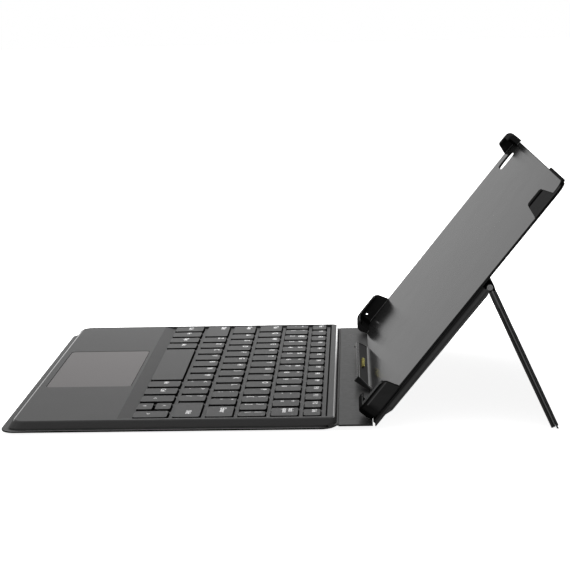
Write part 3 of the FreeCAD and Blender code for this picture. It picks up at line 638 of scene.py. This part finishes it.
def cloth(name, node, slot, place, across, along, thickness):
    """Sheet whose every point is place(how far across, how far along), both from -1 to 1; place gives mm."""
    bm = bmesh.new()
    bmesh.ops.create_grid(bm, x_segments=across, y_segments=along, size=1)
    for vert in bm.verts:
        vert.co = Vector(place(vert.co.x, vert.co.y)) * MM
    bmesh.ops.recalc_face_normals(bm, faces=bm.faces[:])
    bmesh.ops.solidify(bm, geom=bm.faces[:], thickness=thickness * MM)
    smooth_faces(bm)
    made = piece(name, bm, slot)
    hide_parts(node)
    return made


def along_line(line, along):
    """The (Y, Z) point of a list that a row of a cloth follows."""
    return line[round((along + 1) / 2 * (len(line) - 1))]


def straight_cloth(name, node, slot, line, thickness):
    """Cloth along the (Y, Z) points of a line in mm, as long as the CAD solid it stands for."""
    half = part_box(node)[1].x / MM
    return cloth(name, node, slot, lambda across, along: (half * across, *along_line(line, along)),
                 across=40, along=len(line) - 1, thickness=thickness)


def rounded_edge(x, half, back, corner):
    """Y of an edge that runs along X and turns forward round a corner at its end."""
    past = min(corner, max(0.0, abs(x) - half + corner))
    return back - corner + math.sqrt(corner ** 2 - past ** 2)


def front_crease():
    """Cloth from under the keyboard to the flap, filling in round the corners of the deck."""
    def place(across, along):
        x = COVER_HALF * math.sin(across * math.pi / 2)
        hem = rounded_edge(x, COVER_HALF, HEM_BACK, HEM_CORNER)
        deck = rounded_edge(x, DECK_HALF, DECK_BACK, DECK_CORNER)
        edge = max(hem - 0.33, deck + 0.17)
        line = ((hem - 0.4, 2.25), (edge, 2.3), (edge, 2.7), (edge + 0.02, 3.1), (edge + 0.1, 3.45),
                (edge + 0.35, 3.62), (FLAP_START, 3.65))
        return (x, *along_line(line, along))

    made = cloth("front_crease_leather", "front_crease_strip", "flap_skin", place, across=80, along=6,
                 thickness=0.45)
    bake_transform(made)
    return made


def rear_crease():
    """Cloth from the flap to the foot of the back panel, shorter than both."""
    line = ((49.73, 2.95), (50.05, 2.84), (50.4, 2.76), (50.75, 2.73), (51.1, 2.73))
    made = straight_cloth("rear_crease_leather", "rear_crease_strip", "flap_skin", line, thickness=0.28)
    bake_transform(made)
    return made


def hinge_cover():
    """Cloth from the back of the tray, round the barrel of the kick hinge, to the leg."""
    # Turn round the barrel in degrees, and how far from its middle in mm
    turns = ((93, 4.71), (78, 3.5), (60, 2.85), (42, 2.58), (24, 2.5), (8, 2.6), (-8, 2.8), (-24, 3.1),
             (-38.8, 3.6))
    line = [(KICK_HINGE[0] + radius * math.cos(math.radians(turn)),
             KICK_HINGE[1] + radius * math.sin(math.radians(turn))) for turn, radius in turns]
    made = straight_cloth("hinge_cover_leather", "hinge_web", "leg_skin", line, thickness=0.35)
    first, last = line[1], line[-2]
    first[0] * MM
    first[1] * MM
    last[0] * MM
    last[1] * MM
    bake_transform(made)
    return made


legends()
hem = cover_hem()
back_leather = back_skin()
flap_inner, flap_outer = flap_skin("flap_inner_skin"), flap_skin("flap_outer_skin")
leg_inner, leg_outer = leg_skins()
front_crease()
rear_crease()
hinge_cover()


def stage():
    """Floor that looks white with soft shadows, but throws little light up and is dim in reflections."""
    f = finish("floor_white")
    seen = f.node("ShaderNodeLightPath", output="Is Camera Ray")
    mirrored = f.node("ShaderNodeLightPath", output="Is Glossy Ray")
    shadowed = f.node("ShaderNodeBsdfDiffuse", inputs={"Color": grey(0.95)})
    white = f.node("ShaderNodeEmission", inputs={"Color": grey(0.9)})
    dim = f.node("ShaderNodeBsdfDiffuse", inputs={"Color": grey(0.3)})
    dusk = f.node("ShaderNodeEmission", inputs={"Color": grey(0.5)})
    lit = f.node("ShaderNodeAddShader", inputs={0: shadowed, 1: white})
    shown = f.either(seen, f.either(mirrored, dim, dusk), lit)
    f.node("ShaderNodeOutputMaterial", inputs={"Surface": shown})
    bm = bmesh.new()
    bmesh.ops.create_grid(bm, x_segments=1, y_segments=1, size=6)
    mesh = bpy.data.meshes.new("floor")
    bm.to_mesh(mesh)
    bm.free()
    floor = bpy.data.objects.new("floor", mesh)
    mesh.materials.append(f.owner)
    bpy.context.scene.collection.objects.link(floor)


def world():
    """White behind the object; its light comes from above and from the far side."""
    darkest = 0.03
    room = bpy.data.worlds.new("studio")
    f = Finish(room)
    way = f.node("ShaderNodeTexCoord", output="Generated")
    x, z = f.along(way, "X"), f.along(way, "Z")
    soft = f.limited(0.42 + z * 0.38 - x * 0.4, darkest)
    near_horizon = f.limited(2 - z * 12) * 0.17
    gloss = f.limited(0.08 - x * (near_horizon + 0.26) + z * z * 0.5, darkest)
    ambient, mirrored, white = [
        f.node("ShaderNodeBackground", inputs={"Color": grey(1), "Strength": strength})
        for strength in (soft, gloss, 1.0)]
    glossy, camera_ray, through = [
        f.node("ShaderNodeLightPath", output="Is %s Ray" % kind)
        for kind in ("Glossy", "Camera", "Transmission")]
    lit = f.either(glossy, ambient, mirrored)
    f.node("ShaderNodeOutputWorld", inputs={"Surface": f.either(camera_ray + through, lit, white)})
    bpy.context.scene.world = room


def lamp(name, place, target, size, power):
    """Rectangular lamp that lights the object without being seen or mirrored."""
    data = bpy.data.lights.new(name, "AREA")
    data.shape = "RECTANGLE"
    data.size, data.size_y = size
    data.energy = power
    made = bpy.data.objects.new(name, data)
    made.location = place
    made.rotation_euler = (Vector(target) - Vector(place)).to_track_quat("-Z", "Y").to_euler()
    made.visible_camera = False
    made.visible_glossy = False
    bpy.context.scene.collection.objects.link(made)


def camera():
    """Camera as solved from the key grid; focal length and picture in pixels."""
    focal, picture = 1650, 570
    place = (0.9949, 0.04097, 0.2377)
    right = Vector((-0.03864, 0.99899, -0.02296))
    up = Vector((-0.17847, 0.01573, 0.98382))
    back = Vector((0.98319, 0.04211, 0.17768))
    data = bpy.data.cameras.new("camera")
    data.sensor_width = 36.0
    data.lens = data.sensor_width * focal / picture
    data.clip_start = 0.01
    view = bpy.data.objects.new("camera", data)
    view.matrix_world = Matrix.Translation(place) @ Matrix((right, up, back)).transposed().to_4x4()
    bpy.context.scene.collection.objects.link(view)
    bpy.context.scene.camera = view


stage()
world()
lamp("overhead", place=(-0.4, -0.6, 1.45), target=(0, 0, 0), size=(1.4, 1.4), power=6)
lamp("far_side", place=(-0.36, -0.08, 0.3), target=(-0.1, -0.07, 0), size=(0.2, 0.4), power=2.2)
camera()
bpy.context.scene.view_settings.view_transform = "Standard"
